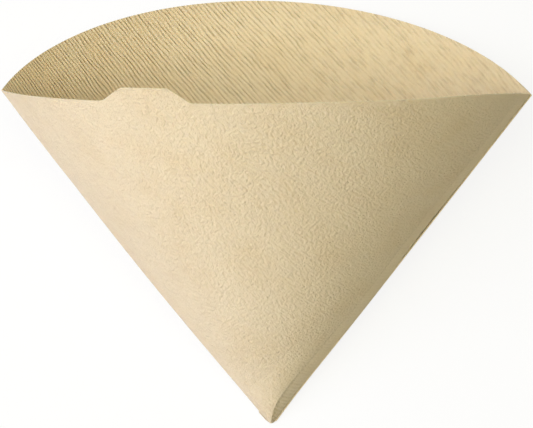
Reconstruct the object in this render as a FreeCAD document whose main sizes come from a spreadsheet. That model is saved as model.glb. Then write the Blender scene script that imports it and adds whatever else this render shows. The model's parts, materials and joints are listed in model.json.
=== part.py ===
import FreeCAD, Part
import math
import os
import Sketcher

# Cone coffee filter: one sheet of crepe paper, folded once, closed by a crimped seam along the
# other edge, and opened by hand. Every size is in millimetres or degrees.
#
# It is drawn standing on its point: the point is at the origin, +Z runs up the middle of the
# flattened cone, the fold is on the left (-X), the seam on the right (+X), the front wall with
# the tab faces -Y and the back wall faces +Y. The last step lays it down on its back wall.
#
# Paper doesn't stretch, so each opened wall is part of a right circular cone through the fold
# and the seam. Each wall is a quarter circle when it is flat.

SIZES = [
    ("rim_radius", 122.0, "radius of the cut that makes the rim, about its own centre"),
    ("rim_shift", 2.9, "how far that centre lies from the point towards the fold"),
    ("opening_angle", 72.5, "angle at the point between the fold and the seam"),
    ("front_bulge", 25.0, "angle that the front wall's middle stands out of the fold plane"),
    ("back_bulge", 25.0, "the same for the back wall"),
    ("paper_thickness", 0.3, "one ply of crepe paper"),
    ("tip_radius", 1.3, "rounding of the point"),
    ("tip_closed", 3.0, "height below which the plies are pressed together at the point"),
    ("seam_width", 5.5, "crimped strip, folded over onto the back wall"),
    ("seam_thickness", 0.5, "its two plies, pressed together, at the crimp's ridges"),
    ("crimp_pitch", 1.25, "from one crimped ridge to the next, along the seam"),
    ("crimp_depth", 0.15, "depth of the valleys between the ridges"),
    ("crimp_margin", 6.0, "plain length of the strip at the point"),
    ("tab_position", 29.0, "angle on the flat sheet from the fold to the middle of the tab"),
    ("tab_height", 5.0, "how far the tab stands above the rim"),
    ("tab_foot_width", 25.0, "width where the tab runs into the rim"),
    ("tab_corner_radius", 3.9, "both bends of each sloping side"),
    ("tab_overlap", 0.03, "how far its lower bends dip below the rim"),
    ("rest_roll", 2.5, "roll towards the seam at which the filter lies still"),
    ("rest_flat", 0.3, "how deep the floor presses the curved back wall flat"),
]
FRONT, BACK = -1, 1
SQUARE = 90.0

doc = FreeCAD.newDocument("coffee_filter")
sheet = doc.addObject("Spreadsheet::Sheet", "Sizes")
for row, (alias, value, note) in enumerate(SIZES, start=1):
    sheet.set("A%d" % row, note)
    sheet.set("B%d" % row, str(value))
    sheet.setAlias("B%d" % row, alias)
doc.recompute()


def size(alias):
    return float(sheet.get(alias))


def vector(x, y, z):
    return FreeCAD.Vector(x, y, z)


class Wall:
    """One opened wall: a right circular cone with its apex at the point.

    The attributes that end in _rule are the same values as rules on the sheet's cells.
    """

    def __init__(self, side, bulge_alias):
        self.side = side
        half_opening = math.radians(size("opening_angle") / 2)
        bulge = math.radians(size(bulge_alias))
        rise = math.cos(bulge) - math.cos(half_opening)
        self.lean = math.atan2(rise, math.sin(bulge))
        self.half_angle = math.acos(math.cos(half_opening) * math.cos(self.lean))
        along = math.cos(half_opening) * math.cos(bulge) - math.cos(self.half_angle) ** 2
        self.half_turn = math.acos(along / math.sin(self.half_angle) ** 2)
        # The axis leans away from the wall.
        self.axis = vector(0, -side * math.sin(self.lean), math.cos(self.lean))
        self.outward = vector(0, side * math.cos(self.lean), math.sin(self.lean))

        half = "cos(Sizes.opening_angle * 0.5 deg)"
        bulge_rule = "Sizes.%s * 1 deg" % bulge_alias
        self.lean_rule = "atan2(cos(%s) - %s; sin(%s))" % (bulge_rule, half, bulge_rule)
        self.half_angle_rule = "acos(%s * cos(%s))" % (half, self.lean_rule)

    def flat_angle(self):
        """Degrees that the wall takes up on the flat sheet."""
        return math.degrees(2 * self.half_turn * math.sin(self.half_angle))

    def turn_at(self, flat_angle):
        """Turn from the wall's middle at so many degrees from the fold on the flat sheet."""
        return math.radians(flat_angle) / math.sin(self.half_angle) - self.half_turn

    def straight_line(self, turn):
        """Unit vector from the point up the wall."""
        radial = self.outward * math.cos(turn) + vector(math.sin(turn), 0, 0)
        return self.axis * math.cos(self.half_angle) + radial * math.sin(self.half_angle)

    def across(self, turn):
        """Unit vector across the wall, towards the seam."""
        return self.outward * -math.sin(turn) + vector(math.cos(turn), 0, 0)

    def placement(self, turn, base):
        """Local X across the wall, local Y up it, local Z square to it."""
        across = self.across(turn)
        up = self.straight_line(turn)
        square = across.cross(up)
        return FreeCAD.Placement(base, FreeCAD.Rotation(across, up, square, "XYZ"))


front = Wall(FRONT, "front_bulge")
back = Wall(BACK, "back_bulge")
REACH_RULE = "(Sizes.rim_radius + Sizes.tab_height) * 1.2"


def named(kind, label):
    item = doc.addObject(kind, label)
    item.Label = label
    return item


def bind(item, rules):
    for path, rule in rules.items():
        item.setExpression(path, rule)
    return item


def wall_cone(label, wall, offset_rule="0"):
    """Solid cone whose skin lies offset outside the wall's own cone."""
    cone = named("Part::Cone", label)
    cone.Placement = FreeCAD.Placement(vector(0, 0, 0), FreeCAD.Rotation(vector(1, 0, 0), SQUARE))
    slip = "(%s) / sin(%s) * 1 mm" % (offset_rule, wall.half_angle_rule)
    return bind(cone, {
        "Radius1": "0",
        "Height": REACH_RULE,
        "Radius2": "%s * tan(%s)" % (REACH_RULE, wall.half_angle_rule),
        "Placement.Rotation.Angle": "%d * %s" % (wall.side, wall.lean_rule),
        "Placement.Base.y": "%d * sin(%s) * %s" % (wall.side, wall.lean_rule, slip),
        "Placement.Base.z": "-cos(%s) * %s" % (wall.lean_rule, slip),
    })


def combine(kind, label, shapes):
    result = named(kind, label)
    result.Shapes = shapes
    return result


def cut(label, base, tool):
    result = named("Part::Cut", label)
    result.Base = base
    result.Tool = tool
    return result


def block(label, length, width, height, x="0", y="0", z="0"):
    return bind(named("Part::Box", label), {
        "Length": length,
        "Width": width,
        "Height": height,
        "Placement.Base.x": x,
        "Placement.Base.y": y,
        "Placement.Base.z": z,
    })


def half_space(label, side):
    """Everything on one side of the fold plane."""
    start = "0" if side == BACK else "-" + REACH_RULE
    return block(label, REACH_RULE + " * 2", REACH_RULE, REACH_RULE + " * 2",
                 "-" + REACH_RULE, start, "-Sizes.seam_width")


def above(label, height_rule):
    """Everything above a height."""
    wide = REACH_RULE + " * 4"
    return block(label, wide, wide, REACH_RULE + " * 2",
                 REACH_RULE + " * -2", REACH_RULE + " * -2", height_rule)


def hollow(label, wall):
    """The room inside a wall, down to where the plies are pressed together."""
    skin = wall_cone(label + "_inside", wall, "-Sizes.paper_thickness")
    return combine("Part::MultiCommon", label + "_hollow",
                   [skin, above(label + "_open", "Sizes.tip_closed")])


def rest_lift():
    """Angle by which the strip, under the point, props the back wall up."""
    return math.atan2(size("seam_thickness"), size("rim_radius") - size("seam_width") * 1.5)


def rest_rotation():
    """Turn that lays the cone on its back wall, where its own weight holds it still.

    It touches the floor with the strip near the point and with the rim. The seam makes one
    side heavier, so it rolls a little about the back wall's axis.
    """
    roll = FreeCAD.Rotation(back.axis, size("rest_roll"))
    turn_back = FreeCAD.Rotation(vector(1, 0, 0), size("back_bulge") - SQUARE)
    pitch = FreeCAD.Rotation(vector(1, 0, 0), -math.degrees(rest_lift()))
    return pitch.multiply(turn_back).multiply(roll)


def above_floor(label, height):
    """Everything above the floor that the filter lies on, in the standing cone's frame."""
    room = named("Part::Box", label)
    standing = rest_rotation().inverted()
    floor = size("rest_flat") - size("rim_radius") * math.sin(rest_lift())
    reach = size("rim_radius") * 2
    corner = vector(-reach, -reach, floor + height)
    room.Placement = FreeCAD.Placement(standing.multVec(corner), standing)
    return bind(room, {
        "Length": "Sizes.rim_radius * 4",
        "Width": "Sizes.rim_radius * 4",
        "Height": "Sizes.rim_radius * 2",
    })


def front_wall():
    """One ply, from the fold to the seam."""
    outside = wall_cone("front_outside", front)
    half = combine("Part::MultiCommon", "front_half", [outside, half_space("front_side", FRONT)])
    return cut("front_wall", half, hollow("front", front))


def seam_inner_edge(flat_angle):
    """Point on the back wall one strip's width from the right edge, at an angle from it."""
    turn = back.half_turn - math.radians(flat_angle) / math.sin(back.half_angle)
    return back.straight_line(turn) * (size("seam_width") / math.sin(math.radians(flat_angle)))


def seam_band():
    """Block whose near face cuts the strip's inner edge, straight on the flat sheet.

    The strip's lower end is flush with the fold.
    """
    low = seam_inner_edge(back.flat_angle())
    bend = seam_inner_edge(10)
    high = seam_inner_edge(math.degrees(math.asin(size("seam_width") / size("rim_radius"))))
    along = (high - low).normalize()
    to_edge = along.cross(bend - low).normalize()
    if to_edge.dot(low) > 0:
        to_edge = to_edge * -1
    deep = to_edge.cross(along)
    band = named("Part::Box", "seam_band")
    margin = size("seam_width") * 4
    band.Placement = FreeCAD.Placement(low - (along + deep) * margin,
                                       FreeCAD.Rotation(to_edge, along, deep, "XYZ"))
    return bind(band, {
        "Length": "Sizes.seam_width * 4",
        "Width": REACH_RULE + " + Sizes.seam_width * 4",
        "Height": "Sizes.seam_width * 8",
    })


def crimped_skin():
    """Solid of revolution about the back wall's axis, with the crimp's ridges on its skin.

    Its profile runs up the wall at the ridges' height, with one V for each valley, so the
    ridges run square to the seam. It is drawn on the side away from the wall, where the turn
    starts and ends.
    """
    away = math.pi
    up = back.straight_line(away)
    outward = up.cross(back.across(away))
    ridge_height = outward * size("seam_thickness")
    valley_height = outward * (size("seam_thickness") - size("crimp_depth"))
    pitch = size("crimp_pitch")
    first = size("crimp_margin")
    valleys = int((size("rim_radius") + size("seam_width") - first) / pitch)
    end = up * (first + valleys * pitch) + ridge_height

    points = [back.axis * (-size("seam_thickness") / math.sin(back.half_angle))]
    for number in range(valleys):
        points.append(up * (first + number * pitch) + ridge_height)
        points.append(up * (first + (number + 0.5) * pitch) + valley_height)
    points += [end, back.axis * end.dot(back.axis)]
    profile = named("Part::Polygon", "crimp_profile")
    profile.Nodes = points
    profile.Close = True
    skin = named("Part::Revolution", "crimped_skin")
    skin.Source = profile
    skin.Axis = back.axis
    skin.Solid = True
    return bind(skin, {"Angle": "360"})


def back_wall():
    """One ply, and the crimped strip that is folded over onto it along the right edge."""
    outside = wall_cone("back_outside", back)
    side = half_space("back_side", BACK)
    half = combine("Part::MultiCommon", "back_half", [outside, side])
    skin_half = combine("Part::MultiCommon", "seam_half", [crimped_skin(), side])
    strip = combine("Part::MultiCommon", "seam_strip", [skin_half, seam_band()])
    outline = combine("Part::MultiFuse", "back_outline", [half, strip])
    pressed = combine("Part::MultiCommon", "back_pressed",
                      [outline, above_floor("back_floor", 0)])
    room = combine("Part::MultiCommon", "back_room",
                   [hollow("back", back), above_floor("back_ply", size("paper_thickness"))])
    return cut("back_wall", pressed, room)


def tab_block():
    """Prism with the tab's flat outline, square to the front wall at the tab's middle.

    Each side is two arcs that run smoothly from the rim's arc to the tab's top edge. The
    sketch's origin is the centre of the rim's arc.
    """
    body = named("PartDesign::Body", "tab_block")
    outline = body.newObject("Sketcher::SketchObject", "tab_outline")
    flat = [face for face in body.Origin.OriginFeatures if face.Role == "XY_Plane"][0]
    outline.AttachmentSupport = [(flat, "")]
    outline.MapMode = "FlatFace"

    rim = size("rim_radius")
    bend = size("tab_corner_radius")
    top = rim + size("tab_height")
    root = rim - size("tab_foot_width") / 2
    half_foot = size("tab_foot_width") / 2 / rim
    # The bends touch each other, so their centres and the rim's make a triangle.
    foot_radius = rim - size("tab_overlap")
    low, high = foot_radius + bend, top - bend
    between = math.acos((low ** 2 + high ** 2 - 4 * bend ** 2) / (2 * low * high))
    half_top = half_foot - between

    def polar(radius, angle, side):
        return vector(side * radius * math.sin(angle), radius * math.cos(angle), 0)

    def arc(centre, radius, start, end):
        first = math.atan2(start.y - centre.y, start.x - centre.x)
        last = math.atan2(end.y - centre.y, end.x - centre.x)
        return Part.ArcOfCircle(Part.Circle(centre, vector(0, 0, 1), radius), first, last)

    centre = vector(0, 0, 0)
    top_edge = outline.addGeometry(arc(centre, top, polar(top, half_top, 1),
                                       polar(top, half_top, -1)))
    edges = {}
    for side in (-1, 1):
        foot = polar(foot_radius, half_foot, side)
        lower, upper = polar(low, half_foot, side), polar(high, half_top, side)
        middle = (lower + upper) * 0.5
        crown = polar(top, half_top, side)
        heel = vector(foot.x, root, 0)
        if side < 0:
            bends = (arc(upper, bend, crown, middle), arc(lower, bend, foot, middle))
        else:
            bends = (arc(upper, bend, middle, crown), arc(lower, bend, middle, foot))
        edges[side] = [outline.addGeometry(bends[0]), outline.addGeometry(bends[1]),
                       outline.addGeometry(Part.LineSegment(foot, heel))]
    heel = vector(foot_radius * math.sin(half_foot), root, 0)
    root_edge = outline.addGeometry(Part.LineSegment(vector(-heel.x, root, 0), heel))

    START, END, CENTRE = 1, 2, 3
    ORIGIN = -1

    def join(kind, *where):
        outline.addConstraint(Sketcher.Constraint(kind, *where))

    def dimension(name, rule, kind, *where):
        index = outline.addConstraint(Sketcher.Constraint(kind, *where))
        outline.renameConstraint(index, name)
        outline.setExpression("Constraints." + name, rule)

    foot_turn = "(Sizes.tab_foot_width / 2 / Sizes.rim_radius * 1 rad)"
    foot_rule = "(Sizes.rim_radius - Sizes.tab_overlap)"
    low_rule = "(Sizes.rim_radius - Sizes.tab_overlap + Sizes.tab_corner_radius)"
    join("Coincident", top_edge, CENTRE, ORIGIN, START)
    dimension("top", "Sizes.rim_radius + Sizes.tab_height", "Radius", top_edge, top)
    for side, word in ((-1, "left"), (1, "right")):
        upper, lower, line = edges[side]
        ends = (START, END) if side < 0 else (END, START)
        join("Tangent", top_edge, END if side < 0 else START, upper, ends[0])
        join("Tangent", upper, ends[1], lower, ends[1])
        join("Coincident", lower, ends[0], line, START)
        dimension(word + "_upper", "Sizes.tab_corner_radius", "Radius", upper, bend)
        dimension(word + "_lower", "Sizes.tab_corner_radius", "Radius", lower, bend)
        first = (ORIGIN, START) if side > 0 else (lower, CENTRE)
        last = (lower, CENTRE) if side > 0 else (ORIGIN, START)
        dimension(word + "_x", low_rule + " * sin(%s)" % foot_turn, "DistanceX",
                  *first, *last, low * math.sin(half_foot))
        dimension(word + "_y", low_rule + " * cos(%s)" % foot_turn, "DistanceY",
                  ORIGIN, START, lower, CENTRE, low * math.cos(half_foot))
        first = (ORIGIN, START) if side > 0 else (line, START)
        last = (line, START) if side > 0 else (ORIGIN, START)
        dimension(word + "_foot", foot_rule + " * sin(%s)" % foot_turn, "DistanceX",
                  *first, *last, foot_radius * math.sin(half_foot))
        join("Vertical", line)
    join("Coincident", edges[-1][2], END, root_edge, START)
    join("Coincident", edges[1][2], END, root_edge, END)
    join("Horizontal", root_edge)
    dimension("root", "Sizes.rim_radius - Sizes.tab_foot_width / 2", "DistanceY",
              ORIGIN, START, root_edge, START, root)

    pad = body.newObject("PartDesign::Pad", "tab_pad")
    pad.Profile = outline
    pad.Midplane = True
    pad.setExpression("Length", "Sizes.tab_foot_width")
    body.Placement = front.placement(front.turn_at(size("tab_position")),
                                     vector(-size("rim_shift"), 0, 0))
    return body


def rim_template():
    """Everything inside the rim's cut: a sphere, because the cut is an arc on the flat sheet."""
    ball = named("Part::Sphere", "rim_ball")
    bind(ball, {"Radius": "Sizes.rim_radius", "Placement.Base.x": "-Sizes.rim_shift"})
    return combine("Part::MultiFuse", "rim_template", [ball, tab_block()])


def point_template():
    """Everything above the rounded point."""
    half = "(Sizes.opening_angle * 0.5 deg)"
    round_end = named("Part::Cylinder", "point_round")
    round_end.Placement = FreeCAD.Placement(vector(0, 0, 0),
                                            FreeCAD.Rotation(vector(1, 0, 0), SQUARE))
    bind(round_end, {
        "Radius": "Sizes.tip_radius",
        "Height": "Sizes.tip_radius * 4",
        "Placement.Base.y": "Sizes.tip_radius * 2",
        "Placement.Base.z": "Sizes.tip_radius / sin(%s)" % half,
    })
    rest = above("above_point", "Sizes.tip_radius * (1 / sin(%s) - sin(%s))" % (half, half))
    return combine("Part::MultiFuse", "point_template", [round_end, rest])


def lay_down(shape):
    """Put the laid cone's box over the origin, on the floor."""
    laid = shape.copy()
    laid.Placement = FreeCAD.Placement(vector(0, 0, 0), rest_rotation())
    box = laid.optimalBoundingBox(False)
    centre = box.Center
    laid.translate(vector(-centre.x, -centre.y, -box.ZMin))
    return laid


uncut = combine("Part::MultiFuse", "uncut_sheet", [front_wall(), back_wall()])
trimmed = combine("Part::MultiCommon", "trimmed_sheet", [uncut, rim_template()])
paper = combine("Part::MultiCommon", "paper", [trimmed, point_template()])
doc.recompute()

assert len(paper.Shape.Solids) == 1, "the sheet is one piece"
filter_paper = named("Part::Feature", "filter_paper")
filter_paper.Shape = lay_down(paper.Shape.Solids[0])
doc.recompute()

for item in doc.Objects:
    assert "Invalid" not in item.State and "Error" not in item.State, item.Label
shape = filter_paper.Shape
assert not shape.isNull() and shape.isValid()

os.makedirs("parts", exist_ok=True)
shape.exportStep("parts/%s.step" % filter_paper.Label)
print("flat angle of each wall", round(front.flat_angle(), 2), round(back.flat_angle(), 2))
print("volume", round(shape.Volume, 1), "faces", len(shape.Faces))
print("bounding box", shape.optimalBoundingBox(False))
print("centre of mass", shape.CenterOfGravity)
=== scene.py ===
import json
import math

import bpy
import numpy as np
from mathutils import Matrix, Vector


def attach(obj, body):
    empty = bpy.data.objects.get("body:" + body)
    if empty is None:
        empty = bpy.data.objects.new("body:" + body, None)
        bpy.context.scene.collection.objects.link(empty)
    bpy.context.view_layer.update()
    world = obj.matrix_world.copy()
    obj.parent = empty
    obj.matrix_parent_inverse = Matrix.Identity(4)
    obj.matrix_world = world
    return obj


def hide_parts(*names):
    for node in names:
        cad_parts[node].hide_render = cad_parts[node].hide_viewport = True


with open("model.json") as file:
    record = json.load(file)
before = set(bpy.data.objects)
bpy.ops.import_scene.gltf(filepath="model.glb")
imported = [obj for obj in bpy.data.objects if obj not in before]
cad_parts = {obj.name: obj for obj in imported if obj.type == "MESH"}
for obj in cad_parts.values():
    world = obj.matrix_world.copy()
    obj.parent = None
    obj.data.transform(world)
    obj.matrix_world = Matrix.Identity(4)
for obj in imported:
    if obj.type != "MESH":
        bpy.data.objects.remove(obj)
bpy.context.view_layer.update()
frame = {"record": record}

# The filter is one sheet of crepe paper. Its flat shape is a half disk, folded once. In the flat
# sheet, "along" runs up the fold from the point and "across" runs away from the fold: the front
# wall has across > 0 and the back wall has across < 0. The ridges of the crepe run nearly along
# the fold. Sizes are in millimetres and degrees until the mesh is made.

MM = 0.001
RIM_RADIUS = 122.0
RIM_CENTRE = (-3.15, 0.0, 0.55)
OPENING_ANGLE = 72.54
FRONT_FOLD_ANGLE = 67.1
PAPER_THICKNESS = 0.3
TIP_RADIUS = 1.3
FOLD_BOW = 1.5
FOLD_BOW_REACH = 22.0

# The walls' sections, as shares of the height at which they are cut.
FRONT_FOLD_RADIUS = 0.769
FRONT_FLANK_RADIUS = 1.21
BACK_HEIGHT = 0.464

TAB_MIDDLE = 28.9
TAB_HEIGHT = 5.0
TAB_FOOT_WIDTH = 25.2
TAB_FOLD_SIDE = 7.4
TAB_SEAM_SIDE = 4.9
TAB_ROUNDING = 0.07

SEAM_WIDTH = 5.5
SEAM_THICKNESS = 0.5
CRIMP_PITCH = 1.25
CRIMP_DEPTH = 0.15
CRIMP_MARGIN = 6.0

# The pose of the solid part: its opening, the bulge of its walls and how it lies.
CAD_OPENING_ANGLE = 72.5
CAD_BULGE = 25.0
REST_ROLL = 2.5
REST_FLAT = 0.3

RIDGE_PITCH = 1.15
RIDGE_TURN = -3.0
CREPE_RELIEF = 0.04
CREPE_FINE_RELIEF = 0.02
SAG_RELIEF = 0.5
RELIEF_STARTS = 6.0
CREASE_WIDTH = 0.3
LEAST_TAB = 0.02
STRIP_END_DEPTH = 0.02

# The mesh's own steps.
FOLD_ARC_POINTS = 500
FLANK_ARC_POINTS = 900
BACK_ARC_POINTS = 1400
COLUMN_STEP = 0.3
LONGEST_RIM_STEP = 1.2
ROWS = 44
ROW_GRADING = 1.3
TAB_ROWS = 3
SHARP_ANGLE = 55

# One unit of the mesh's map is this much paper.
MAP_UNIT = 100


def unit(vectors):
    return vectors / np.linalg.norm(vectors, axis=-1, keepdims=True)


def arc(centre, radius, start, end, count):
    """Points of a circular arc; the angles are in radians."""
    turns = np.linspace(start, end, count)
    return np.stack([centre[0] + radius * np.cos(turns), centre[1] + radius * np.sin(turns)], 1)


def front_section():
    """The front wall cut by a plane at unit height: a tight arc by the fold, then a wide one."""
    half = math.tan(math.radians(OPENING_ANGLE / 2))
    leave = math.radians(FRONT_FOLD_ANGLE)
    first = np.array([-half + FRONT_FOLD_RADIUS * math.sin(leave),
                      -FRONT_FOLD_RADIUS * math.cos(leave)])
    seam = np.array([half, 0.0])
    between = FRONT_FLANK_RADIUS - FRONT_FOLD_RADIUS
    reach = np.linalg.norm(seam - first)
    cosine = (between ** 2 + reach ** 2 - FRONT_FLANK_RADIUS ** 2) / (2 * between * reach)
    heading = math.atan2(seam[1] - first[1], seam[0] - first[0]) - math.acos(cosine)
    second = first + between * np.array([math.cos(heading), math.sin(heading)])
    join = heading + math.pi
    start = math.atan2(-first[1], -half - first[0])
    end = math.atan2(seam[1] - second[1], seam[0] - second[0])
    return np.vstack([arc(first, FRONT_FOLD_RADIUS, start, join, FOLD_ARC_POINTS),
                      arc(second, FRONT_FLANK_RADIUS, join, end, FLANK_ARC_POINTS)[1:]])


def back_section():
    """The back wall cut by the same plane: one arc."""
    half = math.tan(math.radians(OPENING_ANGLE / 2))
    radius = (half ** 2 + BACK_HEIGHT ** 2) / (2 * BACK_HEIGHT)
    reach = math.asin(half / radius)
    up = math.pi / 2
    return arc((0.0, BACK_HEIGHT - radius), radius, up + reach, up - reach, BACK_ARC_POINTS)


class Wall:
    """One wall of the cone: straight lines from the point, by their angle in the flat sheet."""

    def __init__(self, section, side):
        self.side = side
        lines = unit(np.column_stack([section[:, 0], side * section[:, 1],
                                      np.ones(len(section))]))
        steps = np.linalg.norm(np.diff(lines, axis=0), axis=1)
        flat = np.concatenate([[0.0], np.cumsum(steps)])
        self.flat = flat * (math.pi / 2 / flat[-1])
        self.lines = lines
        self.acrosses = unit(np.gradient(lines, self.flat, axis=0))
        self.normals = unit(np.cross(self.acrosses, lines)) * -side

    def at(self, table, turn):
        return np.stack([np.interp(turn, self.flat, table[:, k]) for k in range(3)], -1)

    def rim_radius(self, turn):
        """Distance from the point to the rim: the cut is a sphere about RIM_CENTRE."""
        centre = np.array(RIM_CENTRE)
        toward = self.at(self.lines, turn) @ centre
        return toward + np.sqrt(toward ** 2 - centre @ centre + RIM_RADIUS ** 2)


front = Wall(front_section(), -1)
back = Wall(back_section(), 1)


def rounded_ramp(share):
    """From 0 to 1 with a straight slope and rounded corners."""
    def bend(x):
        return TAB_ROUNDING * np.logaddexp(0, x / TAB_ROUNDING)
    return bend(share) - bend(share - 1)


def tab_height(turn):
    """Height of the tab above the rim, by angle in the flat sheet.

    The tab was cut square to the middle of the flat filter, so its fold side slopes less.
    """
    from_middle = (turn - math.radians(TAB_MIDDLE)) * RIM_RADIUS
    fold_side = rounded_ramp((TAB_FOOT_WIDTH / 2 + from_middle) / TAB_FOLD_SIDE)
    seam_side = rounded_ramp((TAB_FOOT_WIDTH / 2 - from_middle) / TAB_SEAM_SIDE)
    height = TAB_HEIGHT * np.minimum(fold_side, seam_side)
    return np.where(height < LEAST_TAB, 0.0, height)


def noise(x, y, seed):
    """Smooth noise from 0 to 1 on a unit lattice, the same at every run."""
    x0, y0 = np.floor(x), np.floor(y)
    fx, fy = x - x0, y - y0
    fx, fy = fx * fx * (3 - 2 * fx), fy * fy * (3 - 2 * fy)

    def corner(i, j):
        spread = np.sin((x0 + i) * 127.1 + (y0 + j) * 311.7 + seed * 74.7) * 43758.5453
        return spread - np.floor(spread)

    low = corner(0, 0) * (1 - fx) + corner(1, 0) * fx
    high = corner(0, 1) * (1 - fx) + corner(1, 1) * fx
    return low * (1 - fy) + high * fy


def crepe(along, across):
    """Height of the crepe's ridges: nearly parallel to the fold, wandering and broken."""
    lean = math.radians(RIDGE_TURN)
    along, across = (along * math.cos(lean) - across * math.sin(lean),
                     across * math.cos(lean) + along * math.sin(lean))
    # Each noise has its own grain, in millimetres along and across the ridges.
    wander = 0.9 * noise(along / 13, across / 5, 1) + 0.3 * noise(along / 5, across / 2, 2)
    ridge = np.sin(2 * math.pi * (across / RIDGE_PITCH + wander))
    broken = 0.25 + 0.75 * noise(along / 6, across / 1.6, 3)
    fine = noise(along / 4, across / 0.6, 4) - 0.5
    return CREPE_RELIEF * ridge * broken + CREPE_FINE_RELIEF * fine


def sag(along, across):
    """The sheet's slight waves."""
    return SAG_RELIEF * (noise(along / 28, across / 24, 5) - 0.5)


def bowed(points, radius, across):
    """The fold isn't quite straight: it bows out to the side between the point and the rim."""
    share = np.sin(math.pi * np.clip(radius / RIM_RADIUS, 0, 1))
    shifted = points.copy()
    shifted[..., 0] -= FOLD_BOW * share * np.exp(-(across / FOLD_BOW_REACH) ** 2)
    return shifted


def column_angles():
    """Angles of the columns' upper ends on the rim, from the fold to the seam."""
    angles = [0.0]
    while angles[-1] < math.pi / 2:
        step = LONGEST_RIM_STEP / RIM_RADIUS
        cosine = math.cos(angles[-1])
        if COLUMN_STEP < RIM_RADIUS * cosine * step:
            step = COLUMN_STEP / (RIM_RADIUS * cosine)
        angles.append(angles[-1] + step)
    angles[-1] = math.pi / 2
    return np.array(angles)


def crease_blend(wall, other, along, across, turn):
    """Normals of a wall, turned towards its neighbour's where they meet at the two creases."""
    own = wall.at(wall.normals, turn)
    at_fold = np.exp(-(np.abs(across) / CREASE_WIDTH) ** 2)[..., None] * other.normals[0]
    at_seam = np.exp(-(along / CREASE_WIDTH) ** 2)[..., None] * other.normals[-1]
    return unit(own + at_fold + at_seam)


def sheet_points(wall, other, along, across, depth, relief):
    """Points of one face of a wall, depth under its outside."""
    radius = np.hypot(along, across)
    turn = np.arctan2(np.abs(across), along)
    normal = crease_blend(wall, other, along, across, turn)
    upright = np.sum(normal * wall.at(wall.normals, turn), -1)
    fade = 1 - np.exp(-(radius / RELIEF_STARTS) ** 2)
    lift = (-depth / upright) + fade * (relief * crepe(along, across) + sag(along, across))
    points = wall.at(wall.lines, turn) * radius[..., None] + normal * lift[..., None]
    return round_tip(bowed(points, radius, across), depth)


def round_tip(points, depth):
    """Pushes what is below the rounded point up onto it."""
    half = math.radians(OPENING_ANGLE / 2)
    centre = TIP_RADIUS / math.sin(half)
    inner = TIP_RADIUS - depth
    sideways = np.clip(np.abs(points[..., 0]), 0, inner * math.cos(half))
    lowest = centre - np.sqrt(inner ** 2 - sideways ** 2)
    raised = points.copy()
    raised[..., 2] = np.maximum(points[..., 2], lowest)
    return raised


class MeshParts:
    """Collects points, faces, flat-sheet coordinates and material numbers."""

    def __init__(self):
        self.points = []
        self.flat = []
        self.depths = []
        self.faces = []
        self.materials = []

    def add_points(self, points, flat, depth=0.0):
        start = sum(len(block) for block in self.points)
        self.points.append(points.reshape(-1, 3))
        self.flat.append(flat.reshape(-1, 2))
        self.depths.append(np.full(points[..., 0].size, depth))
        return start + np.arange(points[..., 0].size).reshape(points.shape[:-1])

    def add_grid(self, index, material, flip):
        a, b = index[:-1, :-1], index[1:, :-1]
        c, d = index[1:, 1:], index[:-1, 1:]
        quads = np.stack([a, d, c, b] if flip else [a, b, c, d], -1).reshape(-1, 4)
        self.faces.append(quads)
        self.materials.append(np.full(len(quads), material))

    def joined(self):
        """Points, flat-sheet places, depths, faces and materials, without the unused points."""
        used, renumbered = np.unique(np.vstack(self.faces), return_inverse=True)
        return (np.vstack(self.points)[used], np.vstack(self.flat)[used],
                np.concatenate(self.depths)[used], renumbered.reshape(-1, 4),
                np.concatenate(self.materials))


OUTSIDE, INSIDE, EDGE = 0, 1, 2
# Each face's depth under the outside, and how much of the crepe's relief it has.
FACES = {OUTSIDE: (0.0, 0.2), INSIDE: (PAPER_THICKNESS, 0.5)}


def wall_grid(wall):
    """Flat-sheet coordinates of a wall's points: rows from the seam's edge to the rim."""
    turns = column_angles()
    rim = wall.rim_radius(turns)
    rows = (np.arange(ROWS + 1) / ROWS) ** ROW_GRADING
    along = rows[:, None] * (rim * np.cos(turns))[None, :]
    across = np.broadcast_to((rim * np.sin(turns))[None, :], along.shape)
    return turns, rim, along, across


def add_tab(parts, other, face, flip, top):
    """Rows of the tab above the front wall's rim; its upper row takes the rim's place in top."""
    turns, rim, _, _ = wall_grid(front)
    height = tab_height(turns)
    depth, relief = FACES[face]
    on_tab = np.flatnonzero(height > 0)
    reach = slice(on_tab[0] - 1, on_tab[-1] + 2)
    share = np.arange(1, TAB_ROWS + 1)[:, None] / TAB_ROWS
    radius = rim[reach] + share * height[reach]
    along, across = radius * np.cos(turns[reach]), radius * np.sin(turns[reach])
    points = sheet_points(front, other, along, across, depth, relief)
    rows = parts.add_points(points, np.stack([along, across], -1), depth)
    rows[:, 0], rows[:, -1] = top[reach][0], top[reach][-1]
    parts.add_grid(np.vstack([top[reach], rows]), face, flip)
    top[reach] = rows[-1]


def build_sheet(parts):
    """Both faces of both walls, the tab, and the cut edge at the rim."""
    rims = {}
    creases = {}
    for wall, other in ((front, back), (back, front)):
        _, _, along, across = wall_grid(wall)
        for face, (depth, relief) in FACES.items():
            points = sheet_points(wall, other, along, across, depth, relief)
            index = parts.add_points(points, np.stack([along, -wall.side * across], -1), depth)
            # The two walls share their points along the fold and along the seam.
            if wall is back:
                index[0, :] = creases[face][0]
                index[:, 0] = creases[face][1]
            else:
                creases[face] = (index[0, :].copy(), index[:, 0].copy())
            flip = (wall.side > 0) != (face == OUTSIDE)
            parts.add_grid(index, face, flip)
            top = index[-1, :].copy()
            if wall is front:
                add_tab(parts, other, face, flip, top)
            rims[wall.side, face] = top
    for wall in (front, back):
        outer, inner = rims[wall.side, OUTSIDE], rims[wall.side, INSIDE]
        parts.add_grid(np.stack([outer, inner]), EDGE, wall.side < 0)


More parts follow.
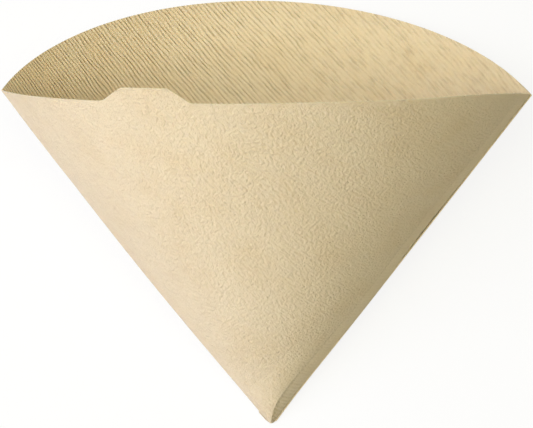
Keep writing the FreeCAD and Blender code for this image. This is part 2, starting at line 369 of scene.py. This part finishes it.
def crimp(radius):
    """Depth of the crimped strip's valleys, which run square to the seam."""
    ridges = (radius - CRIMP_MARGIN) / CRIMP_PITCH
    depth = CRIMP_DEPTH * (1 - np.cos(2 * math.pi * ridges)) / 2
    return np.where(ridges > 0, -depth, 0.0)


def strip_profile():
    """Across the strip: distance from the seam's edge, height, and share of the crimp."""
    top = SEAM_THICKNESS
    return np.array([
        (0.0, 0.0, 0.0), (-0.05, 0.08, 0.0), (-0.07, 0.22, 0.0), (-0.04, 0.38, 0.0),
        (0.1, top - 0.02, 0.4), (0.5, top, 1.0), (1.5, top, 1.0), (2.5, top, 1.0),
        (3.5, top, 1.0), (4.5, top, 1.0), (SEAM_WIDTH - 0.4, top, 1.0),
        (SEAM_WIDTH - 0.1, top - 0.05, 0.5), (SEAM_WIDTH, top - 0.2, 0.0),
        (SEAM_WIDTH + 0.02, -0.05, 0.0)])


def build_strip(parts):
    """The seam's two plies, crimped together and folded over onto the back wall."""
    turns, rim, _, across = wall_grid(back)
    profile = strip_profile()
    along = np.broadcast_to(profile[:, :1], (len(profile), len(turns)))
    across = np.broadcast_to(across[0][None, :], along.shape)
    seam_rim = rim[-1]
    shorter = np.sqrt(1 - (np.clip(along, 0, None) / seam_rim) ** 2)
    across = across * shorter
    inside = np.clip(along, 0, None)
    turn = np.arctan2(across, np.maximum(inside, 1e-6))
    radius = np.hypot(inside, across)
    base = back.at(back.lines, turn) * radius[..., None]
    base = base + back.acrosses[-1] * np.clip(-along, 0, None)[..., None]
    height = profile[:, 1:2] + profile[:, 2:3] * crimp(radius)
    # The strip has no height at the point, where the seam starts.
    height[:, 0] = np.minimum(height[:, 0], 0.0)
    points = base + back.at(back.normals, turn) * height[..., None]
    points = bowed(points, radius, across)
    index = parts.add_points(round_tip(points, 0.0), np.stack([along, -across], -1))
    parts.add_grid(index, OUTSIDE, False)
    end = base[:, -1:] + back.normals[-1] * -STRIP_END_DEPTH
    cap = parts.add_points(end, np.stack([along[:, -1:], -across[:, -1:]], -1))
    parts.add_grid(np.hstack([index[:, -1:], cap]), EDGE, False)


def rest_rotation():
    """How the part lies: from standing on its point to lying on its back wall."""
    opening = math.radians(CAD_OPENING_ANGLE / 2)
    bulge = math.radians(CAD_BULGE)
    lean = math.atan2(math.cos(bulge) - math.cos(opening), math.sin(bulge))
    axis = Vector((0, -math.sin(lean), math.cos(lean)))
    roll = Matrix.Rotation(math.radians(REST_ROLL), 3, axis)
    turn_back = Matrix.Rotation(bulge - math.pi / 2, 3, "X")
    # The strip lies under the point, too, and props it up a little.
    lift = math.atan2(SEAM_THICKNESS, RIM_RADIUS - SEAM_WIDTH * 1.5)
    return Matrix.Rotation(-lift, 3, "X") @ turn_back @ roll


REST = rest_rotation()
POINT = Vector(frame["record"]["mounts"][0]["pos_m"])


def laid_at_rest(points, depths):
    """The points in metres as they lie, with the back wall's lowest part pressed flat."""
    points = points * MM @ np.array(REST).T + np.array(POINT)
    points[:, 2] -= points[:, 2].min() + REST_FLAT * MM
    points[:, 2] = np.maximum(points[:, 2], depths * MM)
    return points


def make_filter():
    parts = MeshParts()
    build_sheet(parts)
    build_strip(parts)
    points, flat, depths, faces, numbers = parts.joined()

    # A face with two corners on one point becomes a triangle, and one with fewer is left out.
    polygons = []
    kept = []
    for number, face in enumerate(faces.tolist()):
        corners = list(dict.fromkeys(face))
        if len(corners) > 2:
            polygons.append(corners)
            kept.append(number)
    mesh = bpy.data.meshes.new("filter_sheet")
    mesh.from_pydata(laid_at_rest(points, depths).tolist(), [], polygons)
    mesh.polygons.foreach_set("material_index", numbers[kept].astype(np.int32))
    mesh.polygons.foreach_set("use_smooth", np.ones(len(polygons), dtype=bool))
    sheet_map = mesh.uv_layers.new(name="flat_sheet")
    corners = np.concatenate([np.array(face) for face in polygons])
    sheet_map.data.foreach_set("uv", (flat[corners] / MAP_UNIT).ravel())
    mesh.validate()
    mesh.set_sharp_from_angle(angle=math.radians(SHARP_ANGLE))
    piece = bpy.data.objects.new("filter_sheet", mesh)
    bpy.context.scene.collection.objects.link(piece)
    return piece


class Nodes:
    """Short calls for building a material's nodes."""

    def __init__(self, name):
        self.material = bpy.data.materials.new(name)
        self.material.use_nodes = True
        self.tree = self.material.node_tree
        self.shader = self.tree.nodes["Principled BSDF"]

    def add(self, kind, **settings):
        node = self.tree.nodes.new(kind)
        for name, value in settings.items():
            setattr(node, name, value)
        return node

    def link(self, source, target):
        self.tree.links.new(source, target)

    def math(self, operation, first, second=None):
        node = self.add("ShaderNodeMath", operation=operation)
        for socket, value in zip(node.inputs, (first, second)):
            if value is None:
                continue
            if isinstance(value, (int, float)):
                socket.default_value = value
            else:
                self.link(value, socket)
        return node.outputs[0]

    def flat_sheet(self):
        """The place in the flat sheet."""
        return self.add("ShaderNodeUVMap", uv_map="flat_sheet").outputs["UV"]

    def along_ridges(self):
        """The place in the flat sheet, turned so that the ridges run along its first axis."""
        turn = self.add("ShaderNodeMapping")
        turn.inputs["Rotation"].default_value = (0, 0, -math.radians(RIDGE_TURN))
        self.link(self.flat_sheet(), turn.inputs["Vector"])
        return turn.outputs["Vector"]

    def split(self, place):
        node = self.add("ShaderNodeSeparateXYZ")
        self.link(place, node.inputs["Vector"])
        return node.outputs

    def stretched_noise(self, per_mm_along, per_mm_across, detail, roughness, seed):
        """Noise in the flat sheet, with its own grain size along and across the ridges."""
        place = self.add("ShaderNodeMapping")
        place.inputs["Scale"].default_value = (per_mm_along * MAP_UNIT, per_mm_across * MAP_UNIT, 1)
        place.inputs["Location"].default_value = (seed, seed * 1.7, seed * 0.3)
        self.link(self.along_ridges(), place.inputs["Vector"])
        cloud = self.add("ShaderNodeTexNoise")
        cloud.inputs["Scale"].default_value = 1.0
        cloud.inputs["Detail"].default_value = detail
        cloud.inputs["Roughness"].default_value = roughness
        self.link(place.outputs["Vector"], cloud.inputs["Vector"])
        return cloud.outputs["Fac"]

    def ramp(self, value, *stops):
        """Colour ramp; each stop is (position, colour)."""
        node = self.add("ShaderNodeValToRGB")
        points = node.color_ramp.elements
        while len(points) < len(stops):
            points.new(0.5)
        for point, (position, colour) in zip(points, stops):
            point.position = position
            point.color = (*colour, 1.0)
        self.link(value, node.inputs["Fac"])
        return node.outputs["Color"]

    def mix(self, kind, share, first, second):
        node = self.add("ShaderNodeMix", data_type="RGBA", blend_type=kind)
        for socket, value in zip((node.inputs["Factor"], node.inputs[6], node.inputs[7]),
                                 (share, first, second)):
            if isinstance(value, (int, float)):
                socket.default_value = value
            elif isinstance(value, tuple):
                socket.default_value = (*value, 1.0)
            else:
                self.link(value, socket)
        return node.outputs[2]

    def bump(self, height, distance_mm, strength, under=None):
        node = self.add("ShaderNodeBump")
        node.inputs["Strength"].default_value = strength
        node.inputs["Distance"].default_value = distance_mm * MM
        self.link(height, node.inputs["Height"])
        if under is not None:
            self.link(under, node.inputs["Normal"])
        return node.outputs["Normal"]


RIDGE_WANDER = 1.2
RIDGE_WAVER = 0.6
RIDGE_BREAKS = 0.32
RIDGE_BREAK_SLOPE = 3.2
RIDGE_LEAST = 0.3


def ridge_waves(nodes):
    """The crepe's ridges, from 0 in the valleys to 1 on the tops: wavy, and broken in places."""
    across = nodes.split(nodes.along_ridges())["Y"]
    count = nodes.math("MULTIPLY", across, MAP_UNIT / RIDGE_PITCH)
    wander = nodes.math("MULTIPLY", nodes.stretched_noise(0.07, 0.16, 1, 0.5, 2.2), RIDGE_WANDER)
    waver = nodes.math("MULTIPLY", nodes.stretched_noise(0.25, 0.5, 1, 0.5, 4.6), RIDGE_WAVER)
    phase = nodes.math("ADD", count, nodes.math("ADD", wander, waver))
    wave = nodes.math("SINE", nodes.math("MULTIPLY", phase, 2 * math.pi))
    broken = nodes.math("SUBTRACT", nodes.stretched_noise(0.24, 0.6, 1, 0.5, 6.3), RIDGE_BREAKS)
    broken = nodes.math("MAXIMUM", nodes.math("MULTIPLY", broken, RIDGE_BREAK_SLOPE), RIDGE_LEAST)
    broken = nodes.math("MINIMUM", broken, 1.0)
    half = nodes.math("MULTIPLY", nodes.math("MULTIPLY", wave, broken), 0.5)
    return nodes.math("ADD", half, 0.5)


PRINT_REACH = 18.0
PRINT_SLOPE = 0.28
PRINT_SLOPE_BESIDE = 0.35
PRINT_BESIDE_WIDTH = 9.0
PRINT_LADDER = 0.06
PRINT_LADDER_LASTING = 0.12
PRINT_WIDTH = 8.5
PRINT_NARROWING = 8.0


def seam_print(nodes):
    """Height, in millimetres, of the seam's print on the front wall, strongest near the point.

    The stiff strip behind makes a crease along its inner edge, and faint crimp ridges.
    """
    place = nodes.split(nodes.flat_sheet())
    from_seam = nodes.math("MULTIPLY", place["X"], MAP_UNIT)
    from_fold = nodes.math("MULTIPLY", place["Y"], MAP_UNIT)
    narrowing = nodes.math("EXPONENT", nodes.math("MULTIPLY", from_fold, -1 / PRINT_NARROWING))
    width = nodes.math("MULTIPLY", nodes.math("SUBTRACT", 1.0, narrowing), PRINT_WIDTH)
    inside = nodes.math("MAXIMUM", nodes.math("SUBTRACT", width, from_seam), 0.0)
    # The back wall has from_fold below 0.
    in_front = nodes.math("GREATER_THAN", from_fold, 0.0)
    share = nodes.math("DIVIDE", from_fold, PRINT_REACH)
    fading = nodes.math("MULTIPLY", share, nodes.math("MULTIPLY", share, -1.0))
    fading = nodes.math("MULTIPLY", nodes.math("EXPONENT", fading), in_front)
    beside = nodes.math("MAXIMUM", nodes.math("SUBTRACT", from_seam, width), 0.0)
    beside = nodes.math("MINIMUM", beside, PRINT_BESIDE_WIDTH)
    beside = nodes.math("MULTIPLY", beside, -PRINT_SLOPE_BESIDE)
    on_print = nodes.math("MULTIPLY", inside, -PRINT_SLOPE)
    slope = nodes.math("MULTIPLY", nodes.math("ADD", on_print, beside), fading)
    wave = nodes.math("SINE", nodes.math("MULTIPLY", from_fold, 2 * math.pi / CRIMP_PITCH))
    on_strip = nodes.math("MINIMUM", inside, 1.0)
    lasting = nodes.math("MULTIPLY", nodes.math("ADD", fading, PRINT_LADDER_LASTING), in_front)
    ladder = nodes.math("MULTIPLY", nodes.math("MULTIPLY", wave, on_strip), PRINT_LADDER)
    return nodes.math("ADD", slope, nodes.math("MULTIPLY", ladder, lasting)), on_strip


PRINT_SMOOTHS = 0.6
RIDGE_BUMP = 0.40
PEBBLE_BUMP = 1.05
FIBRE_BUMP = 0.05


def paper(name, colour, ridges_seen, pebbles_seen, printed):
    """Unbleached crepe paper: long ridges, fine pebbles, fibres, and cloudy colour."""
    nodes = Nodes(name)
    clouds = nodes.stretched_noise(0.06, 0.07, 3, 0.6, 3.1)
    deep = tuple(c * f for c, f in zip(colour, (0.97, 0.95, 0.91)))
    pale = tuple(min(1.0, c * f) for c, f in zip(colour, (1.01, 1.02, 1.03)))
    base = nodes.ramp(clouds, (0.30, deep), (0.52, colour), (0.72, pale))
    # Painted shade: the valleys between the ridges are darker than their tops in the colour,
    # standing for the shade that falls in them.
    ridges = ridge_waves(nodes)
    shade = nodes.ramp(ridges, (0.0, (0.84, 0.815, 0.74)), (1.0, (1.0, 1.0, 1.0)))
    base = nodes.mix("MULTIPLY", ridges_seen, base, shade)
    fibres = nodes.stretched_noise(2.2, 3.6, 4, 0.7, 1.3)
    flecks = nodes.ramp(fibres, (0.30, (0.86, 0.83, 0.76)), (0.46, (1.0, 1.0, 1.0)))
    base = nodes.mix("MULTIPLY", 0.8, base, flecks)
    nodes.link(base, nodes.shader.inputs["Base Color"])

    normal = nodes.bump(ridges, RIDGE_BUMP, ridges_seen)
    pebbles = nodes.stretched_noise(1.1, 1.45, 3, 0.62, 5.0)
    if printed:
        print_height, on_strip = seam_print(nodes)
        normal = nodes.bump(print_height, 1.0, 1.0, normal)
        smoother = nodes.math("SUBTRACT", 1.0, nodes.math("MULTIPLY", on_strip, PRINT_SMOOTHS))
        pebbles = nodes.math("MULTIPLY", pebbles, smoother)
    normal = nodes.bump(pebbles, PEBBLE_BUMP, pebbles_seen, normal)
    normal = nodes.bump(fibres, FIBRE_BUMP, 0.6, normal)
    nodes.link(normal, nodes.shader.inputs["Normal"])
    nodes.shader.inputs["Roughness"].default_value = 0.88
    nodes.shader.inputs["Specular IOR Level"].default_value = 0.22
    nodes.shader.inputs["Subsurface Weight"].default_value = 0.12
    nodes.shader.inputs["Subsurface Radius"].default_value = (1.0, 0.7, 0.4)
    nodes.shader.inputs["Subsurface Scale"].default_value = 0.6 * MM
    return nodes.material


# Name, colour, how much of the ridges (their bump and the painted shade in their valleys) and of
# the pebbles is seen, and whether the seam prints into it, in the order of OUTSIDE, INSIDE and
# EDGE.
PAPERS = (("crepe_paper_outside", (0.86, 0.712, 0.473), 0.1, 0.9, True),
          ("crepe_paper_inside", (0.815, 0.68, 0.475), 0.8, 0.3, False),
          ("paper_cut_edge", (0.84, 0.73, 0.53), 0.05, 0.2, False))


def dress(piece):
    for settings in PAPERS:
        piece.data.materials.append(paper(*settings))


def seen_white(material, share):
    """Lets the camera, and glossy and clear surfaces, see a white floor that keeps its shadow."""
    tree = material.node_tree
    surface = tree.nodes["Principled BSDF"]
    out = tree.nodes["Material Output"]
    path = tree.nodes.new("ShaderNodeLightPath")
    seen = path.outputs["Is Camera Ray"]
    for other in ("Is Glossy Ray", "Is Transmission Ray"):
        either = tree.nodes.new("ShaderNodeMath")
        either.operation = "MAXIMUM"
        tree.links.new(seen, either.inputs[0])
        tree.links.new(path.outputs[other], either.inputs[1])
        seen = either.outputs[0]
    part = tree.nodes.new("ShaderNodeMath")
    part.operation = "MULTIPLY"
    part.inputs[1].default_value = share
    tree.links.new(seen, part.inputs[0])
    white = tree.nodes.new("ShaderNodeEmission")
    white.inputs["Strength"].default_value = 1.0
    mix = tree.nodes.new("ShaderNodeMixShader")
    tree.links.new(part.outputs[0], mix.inputs["Fac"])
    tree.links.new(surface.outputs["BSDF"], mix.inputs[1])
    tree.links.new(white.outputs["Emission"], mix.inputs[2])
    tree.links.new(mix.outputs["Shader"], out.inputs["Surface"])


FLOOR_REACH = 3.0
FLOOR_DROP = 0.0002
FLOOR_COLOUR = (0.86, 0.86, 0.86, 1)
FLOOR_SEEN_WHITE = 0.85


def make_floor():
    mesh = bpy.data.meshes.new("floor")
    reach = FLOOR_REACH
    mesh.from_pydata([(-reach, -reach, 0), (reach, -reach, 0), (reach, reach, 0),
                      (-reach, reach, 0)], [], [(0, 1, 2, 3)])
    floor = bpy.data.objects.new("floor", mesh)
    floor.location.z = -FLOOR_DROP
    bpy.context.scene.collection.objects.link(floor)
    material = bpy.data.materials.new("floor_white")
    material.use_nodes = True
    shader = material.node_tree.nodes["Principled BSDF"]
    shader.inputs["Base Color"].default_value = FLOOR_COLOUR
    shader.inputs["Roughness"].default_value = 1.0
    shader.inputs["Specular IOR Level"].default_value = 0.0
    seen_white(material, FLOOR_SEEN_WHITE)
    mesh.materials.append(material)


# Name, place, power and colour of each lamp; all are squares turned to one place.
LAMPS = (("key_left", (-0.6, 0.05, 0.7), 5.0, (0.814, 0.83, 1.0)),
         ("overhead", (0, 0, 1.0), 7.2, (1.0, 0.965, 0.68)),
         ("fill_left_front", (-0.65, -0.65, 0.25), 4.7, (0.72, 0.725, 0.97)))
LAMP_SIZE = 0.6
LAMP_TARGET = (0, 0, 0.03)
SKY_STRENGTH = 0.02


def area_light(name, place, power, colour):
    data = bpy.data.lights.new(name, "AREA")
    data.shape = "SQUARE"
    data.size = LAMP_SIZE
    data.energy = power
    data.color = colour
    lamp = bpy.data.objects.new(name, data)
    lamp.location = place
    lamp.rotation_euler = (Vector(LAMP_TARGET) - Vector(place)).to_track_quat("-Z", "Y").to_euler()
    bpy.context.scene.collection.objects.link(lamp)


def light_scene():
    world = bpy.data.worlds.new("studio")
    bpy.context.scene.world = world
    world.use_nodes = True
    background = world.node_tree.nodes["Background"]
    background.inputs["Color"].default_value = (1.0, 1.0, 1.0, 1)
    background.inputs["Strength"].default_value = SKY_STRENGTH
    for settings in LAMPS:
        area_light(*settings)


# The camera, as angles and distances from the point in units of the rim's radius.
CAMERA_TILT = 18.78
CAMERA_YAW = -2.04
CAMERA_ROLL = -0.79
CAMERA_CENTRE = (-0.0116, 0.4939)
CAMERA_DISTANCE = 1 / 0.15
PIXELS_PER_RADIUS = 429.2
IMAGE_WIDTH = 533
SENSOR_WIDTH = 36.0


def make_camera():
    tilt, yaw, roll = (math.radians(a) for a in (CAMERA_TILT, CAMERA_YAW, CAMERA_ROLL))
    right = Vector((1, 0, 0))
    behind = Vector((0, -math.cos(tilt), math.sin(tilt)))
    up = Vector((0, math.sin(tilt), math.cos(tilt)))
    behind, right = (behind * math.cos(yaw) + right * math.sin(yaw),
                     right * math.cos(yaw) - behind * math.sin(yaw))
    right, up = (right * math.cos(roll) + up * math.sin(roll),
                 up * math.cos(roll) - right * math.sin(roll))
    place = right * CAMERA_CENTRE[0] + up * CAMERA_CENTRE[1] + behind * CAMERA_DISTANCE
    axes = Matrix((right, up, behind)).transposed()
    data = bpy.data.cameras.new("photo_camera")
    data.sensor_fit = "HORIZONTAL"
    data.sensor_width = SENSOR_WIDTH
    data.lens = PIXELS_PER_RADIUS * CAMERA_DISTANCE * SENSOR_WIDTH / IMAGE_WIDTH
    data.clip_start = 0.01
    camera = bpy.data.objects.new("photo_camera", data)
    camera.matrix_world = Matrix.Translation(REST @ place * (RIM_RADIUS * MM) + POINT) @ (
        REST @ axes).to_4x4()
    bpy.context.scene.collection.objects.link(camera)
    bpy.context.scene.camera = camera


filter_sheet = make_filter()
dress(filter_sheet)
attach(filter_sheet, "root")
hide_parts("filter_paper")
make_floor()
light_scene()
make_camera()
bpy.context.scene.view_settings.view_transform = "Standard"
